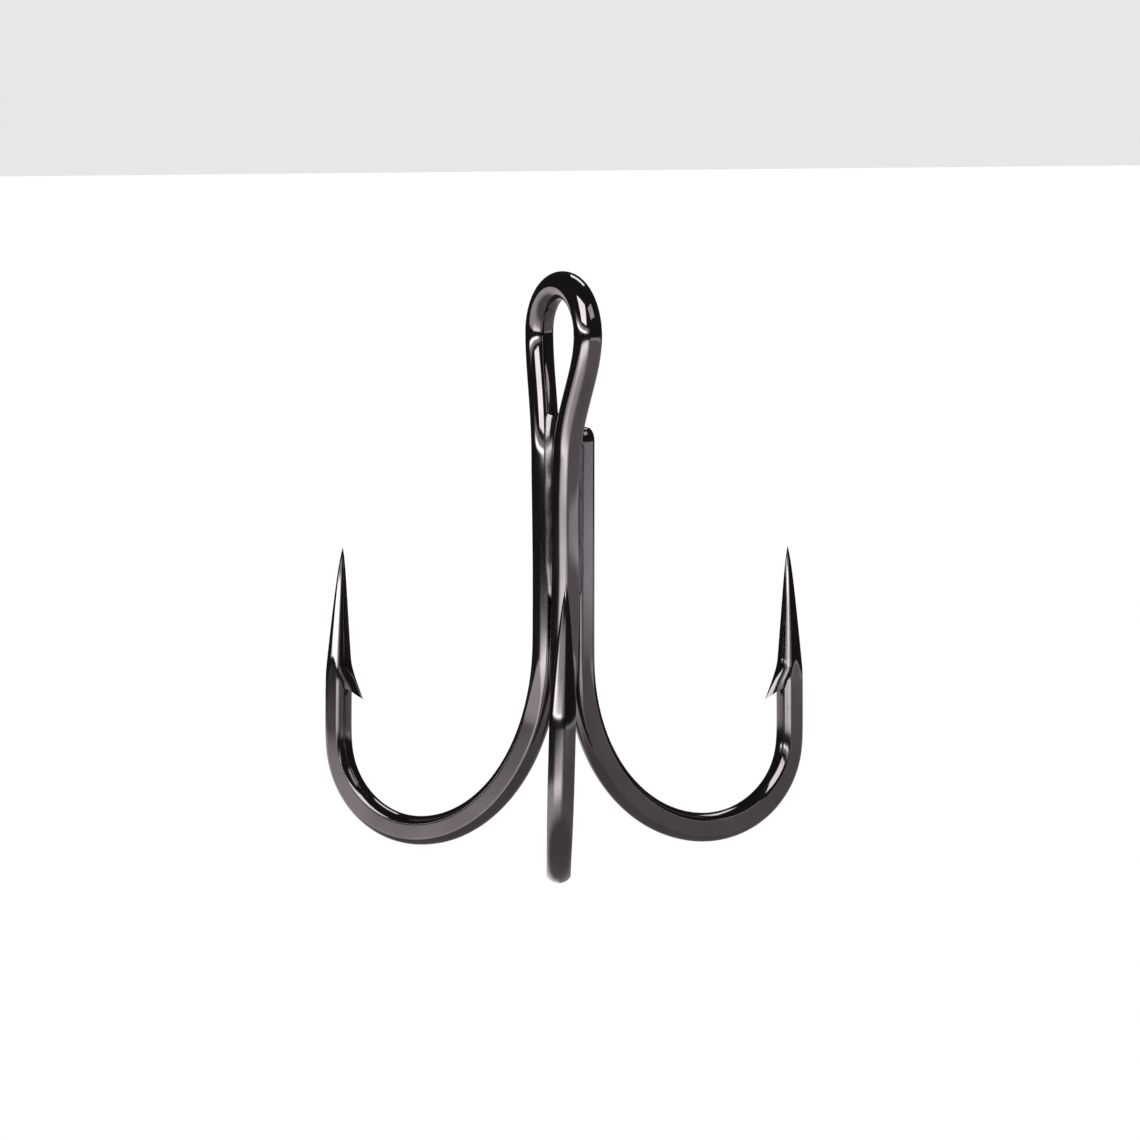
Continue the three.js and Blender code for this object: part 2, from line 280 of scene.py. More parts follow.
def cut_end_radius(from_end):
    inset = 1.0 - np.minimum(from_end / CUT_END_LENGTH, 1.0)
    return WIRE_RADIUS * (CUT_END_FLAT + (1 - CUT_END_FLAT) * np.sqrt(1 - inset * inset))


def flat_half_thickness(z, to_tip):
    """Half the thickness between the side flats: beyond the wire's own radius where it isn't pressed."""
    no_flat = WIRE_RADIUS + 2 * CREASE_ROUND
    inner = no_flat + (BEND_FLAT - no_flat) * (1 - smoothstep(z, PRESS_FULL_Z, PRESS_START_Z))
    spear = BEND_FLAT + (SPEAR_FLAT - BEND_FLAT) * (1 - smoothstep(to_tip, SPEAR_LENGTH, SPEAR_SIDE_LENGTH))
    return np.where(to_tip < SPEAR_SIDE_LENGTH, spear, inner)


def plane_spread(z, to_tip):
    """Change of the section's width in the hook's own plane."""
    pressed = 1 - smoothstep(z, PRESS_FULL_Z, PRESS_START_Z)
    slim = 1 - smoothstep(to_tip, SPEAR_LENGTH, SPEAR_SIDE_LENGTH)
    spear = BEND_SPREAD + (-SPEAR_SLIM - BEND_SPREAD) * slim
    return np.where(to_tip < SPEAR_SIDE_LENGTH, spear, pressed * BEND_SPREAD)


def quadrant_angles(flat_share, round_share):
    """Angles from a section's widest point up to its flat's middle, crowded round the flat's edge."""
    edge_low = math.asin(min(flat_share - round_share, CREASE_LOW_LIMIT))
    edge_high = math.asin(min(flat_share + round_share, CREASE_HIGH_LIMIT))
    arc = np.linspace(0.0, edge_low, 11)
    edge = np.linspace(edge_low, edge_high, 6)[1:]
    margin = edge_high + 0.2 * (math.pi / 2 - edge_high)
    flat = np.linspace(margin, math.pi / 2, 4)
    return np.concatenate([arc, edge, flat])


def section_ring(plane_radius, side_radius, flat):
    """One section as (across, sideways) pairs. Its two flats face sideways, with slightly rounded edges."""
    quadrant = quadrant_angles(flat / side_radius, CREASE_ROUND / side_radius)
    half = np.concatenate([quadrant, math.pi - quadrant[-2:0:-1]])
    angles = np.concatenate([half, half + math.pi])
    across = plane_radius * np.cos(angles)
    sideways = side_radius * np.sin(angles)
    size = np.abs(sideways)
    over = np.clip(size - (flat - CREASE_ROUND), 0.0, 2 * CREASE_ROUND)
    pressed = np.where(size > flat + CREASE_ROUND, flat, size - over * over / (4 * CREASE_ROUND))
    return across, np.sign(sideways) * pressed


# ---- meshes ----


def mesh_object(name, vertices, faces, material):
    mesh = bpy.data.meshes.new(name)
    mesh.from_pydata([tuple(v) for v in vertices * MM], [], faces)
    mesh.materials.append(material)
    mesh.update()
    made = bpy.data.objects.new(name, mesh)
    bpy.context.scene.collection.objects.link(made)
    return made


def tube_faces(rings, points):
    """Quads between rings that run point by point, and a fan on a middle vertex at either end."""
    faces = []
    for ring in range(rings - 1):
        for point in range(points):
            following = (point + 1) % points
            low, high = ring * points, (ring + 1) * points
            faces.append((low + point, low + following, high + following, high + point))
    first_middle, last_middle = rings * points, rings * points + 1
    for point in range(points):
        following = (point + 1) % points
        faces.append((first_middle, following, point))
        last = (rings - 1) * points
        faces.append((last_middle, last + point, last + following))
    return faces


def close_tube(rings):
    """Vertices and faces of a closed tube through an array of rings."""
    count, points = rings.shape[:2]
    middles = np.stack([rings[0].mean(0), rings[-1].mean(0)])
    return np.vstack([rings.reshape(-1, 3), middles]), tube_faces(count, points)


def put_wire_uv(mesh, rings, points, runs):
    """A UV layer with the length along the wire and the way round it, both in millimetres."""
    layer = mesh.uv_layers.new(name="wire")
    vertex = np.zeros(len(mesh.loops), int)
    mesh.loops.foreach_get("vertex_index", vertex)
    ring = np.minimum(vertex // points, rings - 1)
    along = runs[ring]
    around = (vertex % points) / points * 2 * math.pi * WIRE_RADIUS
    layer.data.foreach_set("uv", np.stack([along, around], 1).astype(np.float32).ravel())


def wire_rings(line, places, sides_at, cut_end=False):
    """Rings of a wire's surface at places along its centreline, with the centre of each ring."""
    length = line_length(line)
    at = resampled(line, places)
    ahead = resampled(line, np.minimum(places + DIRECTION_STEP, length))
    behind = resampled(line, np.maximum(places - DIRECTION_STEP, 0.0))
    along = unit(ahead - behind)
    to_tip = length - places
    side = sides_at(at, to_tip)
    side = unit(side - (side * along).sum(1, keepdims=True) * along)
    across = np.cross(side, along)
    radius = needle_radius(np.maximum(to_tip, LEAST_TO_TIP))
    if cut_end:
        radius = np.where(places < CUT_END_LENGTH, cut_end_radius(places), radius)
    flats = flat_half_thickness(at[:, 2], to_tip)
    spread = plane_spread(at[:, 2], to_tip)
    rings = []
    for i in range(len(places)):
        u, v = section_ring(radius[i] * (1 + spread[i]), radius[i], flats[i])
        rings.append(at[i] + u[:, None] * across[i] + v[:, None] * side[i])
    return np.array(rings), at


def hook_side(hook):
    return outward(hook["azimuth"] + 90.0) - np.array([0, 0, math.tan(radians(hook["lean"]))])


def places_along(length):
    """Places for the rings: closer together on the needle point and the barb."""
    fine_from = length - FINE_LENGTH
    coarse = np.linspace(0.0, fine_from, int(fine_from * RINGS_PER_MM))
    fine = np.linspace(fine_from, length - TIP_CUT_BACK, int(FINE_LENGTH * FINE_RINGS_PER_MM))
    return np.concatenate([coarse, fine[1:]])


def eyed_half(hook):
    line = eyed_half_line(hook)
    across_hook = hook_side(hook)

    def sides(at, to_tip):
        turned = smoothstep(-at[:, 2], -LEG_MEET[2], -hook["bend_start"])
        turned = np.where(to_tip < SPEAR_SIDE_LENGTH, 1.0, turned)[:, None]
        return (1 - turned) * np.array([0, 1.0, 0]) + turned * across_hook

    places = places_along(line_length(line))
    rings, _ = wire_rings(line, places, sides)
    return rings, places


def mirrored_rings(rings):
    """Rings flipped in the YZ plane and listed the other way round, so that they lead up to the crown."""
    return rings[::-1] * np.array([-1.0, 1.0, 1.0])


def eyed_wire(material):
    plus, plus_places = eyed_half(PLUS_X)
    minus, minus_places = eyed_half(MINUS_X_FLIPPED)
    other = mirrored_rings(minus)[:-1]
    rings = np.vstack([other, plus])
    runs = np.concatenate([-minus_places[::-1][:-1], plus_places])
    vertices, faces = close_tube(rings)
    made = mesh_object("eyed_double_hook_wire", vertices, faces, material)
    put_wire_uv(made.data, len(rings), rings.shape[1], runs)
    return made


def single_wire(material):
    line = single_line()
    side = hook_side(SINGLE)
    places = places_along(line_length(line))
    cut = np.linspace(0.0, CUT_END_LENGTH, 14)
    places = np.concatenate([cut, places[places > CUT_END_LENGTH + 0.1]])
    rings, _ = wire_rings(line, places, lambda at, to_tip: np.tile(side, (len(at), 1)), cut_end=True)
    vertices, faces = close_tube(rings)
    made = mesh_object("single_hook_wire", vertices, faces, material)
    put_wire_uv(made.data, len(rings), rings.shape[1], places)
    return made


# ---- barbs ----


def barb_place(inwards, height, hook, sideways):
    """A point beside the spear: its distance in from the spear's inner surface, its height and its side."""
    line = hook_line(hook)
    spear = line[-200:]
    centre = np.stack([np.interp(height, spear[:, 2], spear[:, i]) for i in range(3)], -1)
    surface = WIRE_RADIUS * (1 - SPEAR_SLIM)
    return centre - outward(hook["azimuth"]) * (surface + inwards) + hook_side(hook) * sideways


def cutter(name, outline, hook):
    """A prism that cuts right across the barb, from its outline in the hook's plane."""
    count = len(outline)
    ends = (-CUTTER_HALF_WIDTH, CUTTER_HALF_WIDTH)
    corners = [barb_place(x, z, hook, side) for side in ends for x, z in outline]
    faces = [tuple(range(count)), tuple(range(2 * count - 1, count - 1, -1))]
    for i in range(count):
        j = (i + 1) % count
        faces.append((i, i + count, j + count, j))
    made = mesh_object(name, np.array(corners), faces, None)
    face_outwards(made.data)
    return made


def face_outwards(mesh):
    body = bmesh.new()
    body.from_mesh(mesh)
    bmesh.ops.recalc_face_normals(body, faces=body.faces)
    if body.calc_volume(signed=True) < 0.0:
        bmesh.ops.reverse_faces(body, faces=body.faces)
    body.to_mesh(mesh)
    body.free()


def mend(mesh):
    """Fills any small opening that the joins and cuts left in a closed wire."""
    body = bmesh.new()
    body.from_mesh(mesh)
    bmesh.ops.holes_fill(body, edges=[edge for edge in body.edges if edge.is_boundary], sides=0)
    body.to_mesh(mesh)
    body.free()


def fin_rise(z):
    """How far the fin's crest stands out of the wire at a height."""
    below = FIN_BEND_Z - z
    slide = (below + np.sqrt(below * below + FIN_SOFTNESS * FIN_SOFTNESS)) / 2
    return FIN_SLOPE * slide * smoothstep(-z, -FIN_TOP_Z, -FIN_BEND_Z)


def fin(name, line, hook):
    """The sliver that the barb is raised from: the wire's inner side, moved inwards more and more."""
    length = line_length(line)
    places = np.linspace(length - FIN_FROM_TIP, length - FIN_TO_TIP, FIN_RINGS)
    side = hook_side(hook)
    rings, centres = wire_rings(line, places, lambda at, to_tip: np.tile(side, (len(at), 1)))
    inwards = -outward(hook["azimuth"])
    grown = []
    for ring, centre in zip(rings, centres):
        arm = ring - centre
        reach = arm @ inwards
        aside = arm @ side
        rise = float(fin_rise(centre[2]))
        from_crest = np.sqrt(aside * aside + FIN_CREST_ROUND ** 2) - FIN_CREST_ROUND
        share = np.clip(1.0 - from_crest / FIN_HALF_WIDTH, 0.0, 1.0)
        share = share * smoothstep(reach, 0.0, 0.5 * WIRE_RADIUS)
        sunk = 1.0 - FIN_SINK / WIRE_RADIUS
        lifted = centre + inwards * (reach * sunk + rise * share)[:, None]
        grown.append(lifted + side * (aside * sunk)[:, None])
    vertices, faces = close_tube(np.array(grown))
    return mesh_object(name, vertices, faces, None)


def boolean(target, other, operation):
    """Joins or cuts target with another mesh for good, and removes the other."""
    modifier = target.modifiers.new("shape", "BOOLEAN")
    modifier.operation = operation
    modifier.solver = "EXACT"
    modifier.object = other
    bpy.context.view_layer.update()
    made = bpy.data.meshes.new_from_object(target.evaluated_get(bpy.context.evaluated_depsgraph_get()))
    target.modifiers.clear()
    used = [target.data, other.data]
    target.data = made
    bpy.data.objects.remove(other)
    for mesh in used:
        bpy.data.meshes.remove(mesh)


def raise_barb(wire, line, hook):
    """Cuts the slit into the spear and joins on the barb that was lifted out of it."""
    raised = [(x, z + CUT_SPARE) for x, z in [*SLIT_TOP, CUT_END]]
    slit = cutter("slit", raised + [CUT_LIP, SLIT_BOTTOM], hook)
    boolean(wire, slit, "DIFFERENCE")
    barb = fin("barb", line, hook)
    far = CHISEL_REACH
    under = UNDERSIDE + [CUT_END, (-far, CUT_END[1]), (-far, FIN_END_Z - 1.0), (far, FIN_END_Z - 1.0)]
    chisel = cutter("chisel", under + [(far, UNDERSIDE[0][1])], hook)
    boolean(barb, chisel, "DIFFERENCE")
    boolean(wire, barb, "UNION")


def only_material(piece, material):
    piece.data.materials.clear()
    piece.data.materials.append(material)
    piece.data.polygons.foreach_set("material_index", [0] * len(piece.data.polygons))


def smooth_shade(piece, sharp_angle):
    piece.data.polygons.foreach_set("use_smooth", [True] * len(piece.data.polygons))
    piece.data.set_sharp_from_angle(angle=radians(sharp_angle))


# ---- braze ----


def shank_centres(line):
    """A function that gives a wire's centre at any height between the eye and the bend."""
    upright = line[(line[:, 2] > -30.0) & (line[:, 2] < -2.0)]
    first = upright[: int(np.argmin(upright[:, 2])) + 1]
    heights = first[::-1, 2]
    return lambda z: np.stack([np.interp(z, heights, first[::-1, i]) for i in (0, 1)], -1)


def braze_wires():
    minus = eyed_half_line(MINUS_X_FLIPPED) * np.array([-1.0, 1.0, 1.0])
    return {
        "plus": shank_centres(eyed_half_line(PLUS_X)),
        "minus": shank_centres(minus),
        "single": shank_centres(single_line()),
    }


def single_radius(z):
    return np.where(z > SINGLE_END_Z, 0.1, cut_end_radius(np.maximum(SINGLE_END_Z - z, 0.0)))


def from_wire(points, name, centres):
    """How far points lie outside a wire's surface."""
    z = points[:, 2]
    radius = single_radius(z) if name == "single" else WIRE_RADIUS
    return np.linalg.norm(points[:, :2] - centres[name](z), axis=1) - radius


def ripple(points, seed):
    """A slow unevenness between -1 and 1, like that of metal that ran and froze."""
    x, y, z = points.T
    wave = np.sin(1.9 * z + 2.3 * x + seed) + np.sin(4.3 * z - 3.1 * y + 2.1 * seed)
    return (wave + 0.7 * np.sin(9.7 * z + 5.0 * x - 4.0 * y + 3.7 * seed)) / 2.7


def groove(z, first, second, facing, centres):
    """A groove at a height: wire one's centre, the ways to wire two and out, and half their distance."""
    one, two = centres[first](z), centres[second](z)
    apart = two - one
    length = np.linalg.norm(apart, axis=-1, keepdims=True)
    side = apart / length
    out = np.stack([side[..., 1], -side[..., 0]], -1)
    out = out * np.sign(out @ facing[:2])[..., None]
    return one, side, out, length[..., 0] / 2


def fillet_ring(z, pair, facing, centres, spare):
    """A fillet's outline at one height: its hollow face, and its back hidden inside the two wires."""
    one, side, out, half = groove(np.float64(z), *pair, facing, centres)
    middle = one + side * half
    radius = half - WIRE_RADIUS + spare
    reach = math.sqrt((WIRE_RADIUS + radius) ** 2 - half * half)
    opening = math.atan2(half, reach)
    turns = np.linspace(-opening, opening, FACE_POINTS)[:, None]
    bulge = BRAZE_RISE + BRAZE_LIP * np.abs(turns / opening) ** 6
    hollow_middle = middle + out * reach
    face = hollow_middle + (radius - bulge) * (np.sin(turns) * side - np.cos(turns) * out)
    contact = math.pi / 2 - opening
    # From the face's end on wire two, in under its surface and back to its nearest point to wire one.
    turned = [contact + 0.08, contact + 0.16, contact - 0.2, 0.0]
    depths = [BRAZE_SINK / 2, BRAZE_SINK, BRAZE_SINK * 1.6, BRAZE_SINK]
    back = []
    for angle, deep in zip(turned, depths):
        back.append((-math.cos(angle) * (WIRE_RADIUS - deep), math.sin(angle) * (WIRE_RADIUS - deep)))
    back = np.array(back)
    two = one + 2 * half * side
    under_two = two + back[:, :1] * side + back[:, 1:] * out
    under_one = one - back[::-1, :1] * side + back[::-1, 1:] * out
    ring = np.vstack([face, under_two, under_one])
    return np.column_stack([ring, np.full(len(ring), z)])


def fillet(name, pair, facing, top, centres, seed, material):
    heights = np.arange(BRAZE_BOTTOM_Z, top, BRAZE_STATION)
    rings = []
    for z in heights:
        from_top = min((top - z) / BRAZE_CREEP, 1.0)
        from_bottom = min((z - BRAZE_BOTTOM_Z) / BRAZE_RUN_OUT, 1.0)
        share = math.sqrt(1 - (1 - from_top) ** 2) * math.sqrt(1 - (1 - from_bottom) ** 2)
        wave = 1 + BRAZE_WAVE * (math.sin(1.3 * z + seed) + 0.5 * math.sin(2.9 * z + 2.0 * seed))
        rings.append(fillet_ring(z, pair, facing, centres, BRAZE_LEAST + MENISCUS_SPARE * share * wave))
    vertices, faces = close_tube(np.array(rings))
    made = mesh_object(name, vertices, faces, material)
    face_outwards(made.data)
    smooth_shade(made, BRAZE_SHARP_ANGLE)
    return made


def hollow(points, first, second, facing, centres):
    """The hollow face between two wires, below zero where the braze is, and the depth towards it."""
    one, side, out, half = groove(points[:, 2], first, second, facing, centres)
    radius = half - WIRE_RADIUS + MENISCUS_SPARE
    reach = np.sqrt(np.maximum((WIRE_RADIUS + radius) ** 2 - half * half, 0.0))
    from_middle = points[:, :2] - one - side * half[:, None]
    along, depth = (from_middle * side).sum(1), (from_middle * out).sum(1)
    face = radius - np.hypot(along, depth - reach)
    beside = (np.abs(along) * reach + depth * half - half * reach) / np.hypot(half, reach)
    return face, depth, beside


def core_field(sides, centres):
    """The solid between all three wires, with a pool at its top and bottom that creeps up them."""

    def field(points):
        z = points[:, 2]
        wires = np.min([from_wire(points, name, centres) for name in centres], axis=0)
        near = np.exp(-np.maximum(wires, 0.0) / POOL_CREEP_FADE)
        creep = POOL_CREEP * near * (1 + 0.3 * ripple(points, 1.0))
        below = BRAZE_BOTTOM_Z - POOL_MARGIN - creep - z
        parts = [-(wires + BRAZE_SINK), z - (CORE_TOP_Z + creep), below]
        for first, second, facing in sides:
            face, depth, beside = hollow(points, first, second, facing, centres)
            parts += [np.where(beside < 0, face, wires) - BRAZE_RISE, depth - 0.02]
        return np.max(parts, axis=0)

    return field


def surface_of(field, low, high):
    """A closed quad mesh on a solid's surface: one vertex in each grid cell that the surface crosses."""
    step = np.array([BRAZE_STEP, BRAZE_STEP, BRAZE_STEP * 1.5])
    axes = [np.arange(a, b + s, s) for a, b, s in zip(low, high, step)]
    grid = np.stack(np.meshgrid(*axes, indexing="ij"), -1)
    values = field(grid.reshape(-1, 3)).reshape(grid.shape[:3])
    inside = values < 0
    cells = tuple(n - 1 for n in inside.shape)

    def corner(array, i, j, k):
        return array[i : i + cells[0], j : j + cells[1], k : k + cells[2]]

    total = sum(corner(inside, i, j, k).astype(int) for i in (0, 1) for j in (0, 1) for k in (0, 1))
    crossed = (total > 0) & (total < 8)
    index = np.full(cells, -1)
    index[crossed] = np.arange(int(crossed.sum()))
    sums, hits = np.zeros((index.max() + 1, 3)), np.zeros(index.max() + 1)
    for axis in range(3):
        for a in (0, 1):
            for b in (0, 1):
                start = [a, b]
                start.insert(axis, 0)
                end = list(start)
                end[axis] = 1
                v0, v1 = corner(values, *start)[crossed], corner(values, *end)[crossed]
                cut = (v0 < 0) != (v1 < 0)
                share = np.where(cut, v0 / np.where(cut, v0 - v1, 1.0), 0.0)[:, None]
                p0, p1 = corner(grid, *start)[crossed], corner(grid, *end)[crossed]
                sums += np.where(cut[:, None], p0 + (p1 - p0) * share, 0.0)
                hits += cut
    vertices = sums / hits[:, None]
    faces = []
    for axis in range(3):
        one, two = [a for a in range(3) if a != axis]
        low_side = [slice(1, -1)] * 3
        low_side[axis] = slice(0, -1)
        high_side = list(low_side)
        high_side[axis] = slice(1, None)
        change = inside[tuple(low_side)].astype(int) - inside[tuple(high_side)].astype(int)
        where = np.argwhere(change != 0)
        sign = change[change != 0]
        cell = where.copy()
        cell[:, one] += 1
        cell[:, two] += 1
        quad = []
        for shift_one, shift_two in ((1, 1), (0, 1), (0, 0), (1, 0)):
            at = cell.copy()
            at[:, one] -= shift_one
            at[:, two] -= shift_two
            quad.append(index[at[:, 0], at[:, 1], at[:, 2]])
        quad = np.stack(quad, 1)
        turn = sign if axis != 1 else -sign
        quad[turn < 0] = quad[turn < 0][:, ::-1]
        faces.append(quad)
    return settle(vertices, field), np.vstack(faces)


def settle(vertices, field):
    """Moves vertices onto the surface itself, by at most half a grid step."""
    for _ in range(2):
        value = field(vertices)
        steps = [SETTLE_STEP * axis for axis in np.eye(3)]
        slope = np.stack([(field(vertices + step) - field(vertices - step)) for step in steps], 1)
        slope /= 2 * SETTLE_STEP
        size = np.maximum((slope * slope).sum(1), 0.2)
        move = -slope * (value / size)[:, None]
        reach = np.linalg.norm(move, axis=1, keepdims=True)
        vertices = vertices + move * np.minimum(1.0, 0.3 * BRAZE_STEP / np.maximum(reach, 1e-9))
    return vertices


def braze_piece(name, field, low, high, material):
    vertices, faces = surface_of(field, low, high)
    made = mesh_object(name, vertices, [tuple(int(i) for i in f) for f in faces], material)
    face_outwards(made.data)
    smooth_shade(made, BRAZE_SHARP_ANGLE)
    return made


def braze_pieces(material):
    centres = braze_wires()
    sides = [
        ("plus", "minus", outward(-90.0)),
        ("plus", "single", outward(30.0)),
        ("minus", "single", outward(150.0)),
    ]
    tops = [DOUBLE_TOP_Z, SINGLE_TOP_Z, SINGLE_TOP_Z]
    names = ["braze_fillet_double_run", "braze_fillet_plus_x_run", "braze_fillet_minus_x_run"]
    made = []
    for seed, (name, (first, second, facing), top) in enumerate(zip(names, sides, tops)):
        made.append(fillet(name, (first, second), facing, top, centres, seed + 1.0, material))
    low = (-CORE_HALF_WIDTH, -CORE_HALF_WIDTH, BRAZE_BOTTOM_Z - CORE_BOX_SPARE)
    high = (CORE_HALF_WIDTH, CORE_HALF_WIDTH, CORE_BOX_TOP_Z)
    made.append(braze_piece("braze_core_pool", core_field(sides, centres), low, high, material))
    return made


# ---- materials ----


class Nodes:
    """Short ways to add and join the nodes of one material."""

    def __init__(self, name):
        self.material = bpy.data.materials.new(name)
        self.material.use_nodes = True
        self.tree = self.material.node_tree
        self.shader = self.tree.nodes["Principled BSDF"]

    def add(self, kind, **settings):
        node = self.tree.nodes.new(kind)
        for key, value in settings.items():
            setattr(node, key, value)
        return node

    def link(self, start, end):
        self.tree.links.new(start, end)

    def noise(self, vector, scale, detail=3.0, roughness=0.5):
        node = self.add("ShaderNodeTexNoise")
        node.inputs["Scale"].default_value = scale
        node.inputs["Detail"].default_value = detail
        node.inputs["Roughness"].default_value = roughness
        self.link(vector, node.inputs["Vector"])
        return node.outputs["Fac"]

    def ramp(self, value, start, end, low, high):
        node = self.add("ShaderNodeMapRange")
        for name, number in zip(["From Min", "From Max", "To Min", "To Max"], [start, end, low, high]):
            node.inputs[name].default_value = number
        self.link(value, node.inputs["Value"])
        return node.outputs["Result"]

    def ranged(self, noise, low, high):
        return self.ramp(noise, 0.3, 0.7, low, high)

    def blend(self, value, low, high):
        node = self.add("ShaderNodeValToRGB")
        node.color_ramp.elements[0].position = 0.32
        node.color_ramp.elements[1].position = 0.68
        node.color_ramp.elements[0].color = (*low, 1.0)
        node.color_ramp.elements[1].color = (*high, 1.0)
        self.link(value, node.inputs["Fac"])
        return node.outputs["Color"]

    def bump(self, height, strength, distance, before=None):
        node = self.add("ShaderNodeBump")
        node.inputs["Strength"].default_value = strength
        node.inputs["Distance"].default_value = distance
        self.link(height, node.inputs["Height"])
        if before:
            self.link(before, node.inputs["Normal"])
        return node.outputs["Normal"]


PRESSED_PAINTED_SHADE = 0.8          # painted shade: a darker base colour on the pressed bends and spears; they are also less polished than the shank
PRESSED_ROUGHNESS = 0.03


def black_nickel():
    """Plating that is nearly black, faintly warm in places, with drawing lines along the wire, and painted
    shade that darkens it towards the bottom over the pressed bends.
    """
    n = Nodes("black_nickel_plating")
    place = n.add("ShaderNodeTexCoord").outputs["Object"]
    along = n.add("ShaderNodeUVMap", uv_map="wire").outputs["UV"]
    stretched = n.add("ShaderNodeMapping")
    stretched.inputs["Scale"].default_value = (0.35, 9.0, 1.0)
    n.link(along, stretched.inputs["Vector"])
    lines = n.noise(stretched.outputs["Vector"], 1.0, 4.0, 0.6)
    grain = n.noise(place, 9000.0, 2.0, 0.6)
    cloud = n.noise(place, 260.0, 3.0, 0.55)
    height = n.add("ShaderNodeSeparateXYZ")
    n.link(place, height.inputs["Vector"])
    pressed = n.ramp(height.outputs["Z"], PRESS_START_Z * MM, PRESS_FULL_Z * MM, 0.0, 1.0)
    tone = n.blend(cloud, (0.235, 0.215, 0.228), (0.29, 0.268, 0.275))
    # painted shade: the base colour is scaled down towards the bottom, over the pressed bends and spears
    painted_shade_tone = n.add("ShaderNodeVectorMath", operation="SCALE")
    n.link(tone, painted_shade_tone.inputs[0])
    n.link(n.ramp(pressed, 0.0, 1.0, 1.0, PRESSED_PAINTED_SHADE), painted_shade_tone.inputs["Scale"])
    n.link(painted_shade_tone.outputs["Vector"], n.shader.inputs["Base Color"])
    polish = n.add("ShaderNodeMath", operation="ADD")
    n.link(n.ranged(lines, 0.05, 0.08), polish.inputs[0])
    n.link(n.ramp(pressed, 0.0, 1.0, 0.0, PRESSED_ROUGHNESS), polish.inputs[1])
    n.link(polish.outputs["Value"], n.shader.inputs["Roughness"])
    first = n.bump(lines, 0.03, 0.00001)
    n.link(n.bump(grain, 0.05, 0.000003, first), n.shader.inputs["Normal"])
    n.shader.inputs["Metallic"].default_value = 1.0
    return n.material


def plated_braze():
    """The same plating over brazing metal: duller, softer and pitted here and there."""
    n = Nodes("plated_braze_metal")
    place = n.add("ShaderNodeTexCoord").outputs["Object"]
    runs = n.noise(place, 900.0, 4.0, 0.55)
    pits = n.noise(place, 5200.0, 3.0, 0.65)
    n.link(n.blend(runs, (0.19, 0.175, 0.183), (0.25, 0.232, 0.238)), n.shader.inputs["Base Color"])
    n.link(n.ranged(pits, 0.11, 0.19), n.shader.inputs["Roughness"])
    first = n.bump(runs, 0.15, 0.00002)
    n.link(n.bump(pits, 0.15, 0.000004, first), n.shader.inputs["Normal"])
    n.shader.inputs["Metallic"].default_value = 1.0
    return n.material


def paper_white():
    """Paper lit so brightly that it shows no shadow."""
    n = Nodes("white_sweep")
    place = n.add("ShaderNodeTexCoord").outputs["Object"]
    fibre = n.noise(place, 300.0, 2.0)
    n.shader.inputs["Base Color"].default_value = (0.0, 0.0, 0.0, 1.0)
    n.shader.inputs["Specular IOR Level"].default_value = 0.0
    n.shader.inputs["Emission Strength"].default_value = 1.0
    n.link(n.blend(fibre, (1.0, 1.0, 1.0), (1.02, 1.02, 1.02)), n.shader.inputs["Emission Color"])
    return n.material


# ---- studio ----

CAMERA_AZIMUTH = -30.0       # the camera stands over the +X hook's side
CAMERA_HEIGHT_ANGLE = 5.4
CAMERA_DISTANCE = 437.75
CAMERA_TARGET = np.array([0.28, 0.486, -20.06])
LENS = 162.63
SENSOR = 36.0
LAMP_DISTANCE = 700.0
FLOOR_HALF_WIDTH = 3000.0
FLOOR_GAP = 0.05             # between the floor and the lowest point of the hooks

# Softboxes: degrees to the right of the camera, elevation, width and height in degrees, radiance and tint.
SOFTBOXES = {
    "key": (-27.0, 37.0, 38.0, 40.0, 3.3, (1.0, 0.96, 0.97)),
    "fill": (54.0, 40.0, 36.0, 22.0, 1.1, (1.0, 0.9, 0.92)),
    "back": (163.0, 51.0, 26.0, 16.0, 2.8, (1.0, 1.0, 1.0)),
}

# The rest of the room as the metal sees it, in patches with soft edges.
# Azimuth from, to and softness, elevation from, softness, to, softness, radiance and tint.
PATCHES = {
    "wall_left": (-84.0, -10.0, 10.0, 2.5, 0.7, 5.6, 1.0, 4.2, (1.0, 0.99, 0.99)),
    "wall_middle": (-84.0, 8.0, 10.0, 2.5, 0.8, 10.5, 1.5, 0.7, (1.0, 0.98, 0.98)),
    "table_left": (-180.0, 4.0, 16.0, -32.0, 12.0, -7.0, 0.7, 0.95, (1.0, 0.93, 0.97)),
    "table_near": (-180.0, 180.0, 16.0, -90.0, 1.0, -30.0, 14.0, 0.2, (1.0, 0.95, 0.98)),
    "table_right": (4.0, 180.0, 16.0, -32.0, 12.0, -5.2, 0.5, 0.26, (1.0, 0.92, 0.97)),
    "table_lit": (-52.0, 6.0, 11.0, -15.0, 7.0, -5.55, 0.3, 1.8, (1.0, 0.99, 0.985)),
    "horizon": (24.0, 125.0, 10.0, -5.9, 0.5, -3.5, 0.7, 0.65, (0.93, 0.95, 1.0)),
}
ROOM = (0.028, 0.025, 0.027)


def direction(azimuth, elevation):
    level = math.cos(radians(elevation))
    return np.array([*(outward(azimuth)[:2] * level), math.sin(radians(elevation))])


def camera():
    data = bpy.data.cameras.new("camera")
    data.lens = LENS
    data.sensor_width = SENSOR
    data.clip_start = 0.01
    data.clip_end = 20.0
    made = bpy.data.objects.new("camera", data)
    bpy.context.scene.collection.objects.link(made)
    away = direction(CAMERA_AZIMUTH, CAMERA_HEIGHT_ANGLE)
    made.location = Vector((CAMERA_TARGET + CAMERA_DISTANCE * away) * MM)
    made.rotation_euler = Vector(-away).to_track_quat("-Z", "Y").to_euler()
    bpy.context.scene.camera = made


